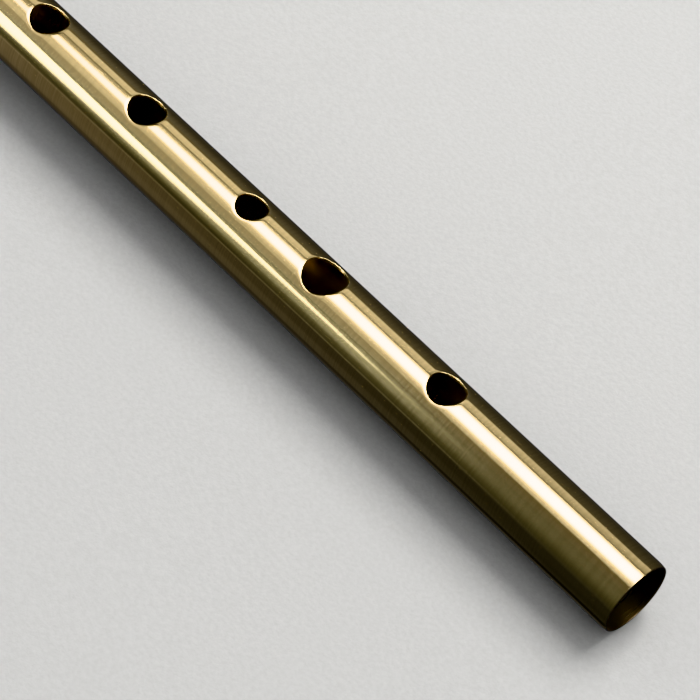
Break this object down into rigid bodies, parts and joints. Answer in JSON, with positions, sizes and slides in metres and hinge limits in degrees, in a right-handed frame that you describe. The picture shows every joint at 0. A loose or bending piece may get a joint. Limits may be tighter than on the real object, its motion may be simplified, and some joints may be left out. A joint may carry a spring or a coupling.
{
  "type": "tin whistle",
  "caption": "Slim brass tin whistle with finger holes along a thin-walled tube and a moulded mouthpiece head that slides and turns on rubber rings for tuning.",
  "frame": {"origin": "centre of the open foot, on the axis of the bore", "axes": "+X up the bore to the mouthpiece, +Z out of the finger holes, +Y to the side"},
  "size_m": [0.298, 0.0178, 0.0178],
  "materials": {
    "brass_tube": "polished, faintly brushed round the tube, light tarnish",
    "ring_rubber": "matte black rubber",
    "collar_plastic": "fine satin moulding",
    "head_plastic": "glossy bottle-green moulding",
    "block_plastic": "cream moulded plastic, satin"
  },
  "bodies": {
    "body": {"body_tube": "brass_tube"},
    "grip_rings": {"grip_ring_lower": "ring_rubber", "grip_ring_upper": "ring_rubber"},
    "head": {"head_shell": "head_plastic", "fipple_block": "block_plastic", "ring_spacer": "collar_plastic", "tuning_collar": "collar_plastic"}
  },
  "joints": [
    {"name": "tuning_slide", "type": "slide", "parent": "body", "child": "grip_rings", "axis": [1, 0, 0], "range_m": [-0.003, 0.009]},
    {"name": "head_turn", "type": "hinge", "parent": "grip_rings", "child": "head", "pos_m": [0.23, 0, 0], "axis": [1, 0, 0], "continuous": true}
  ]
}
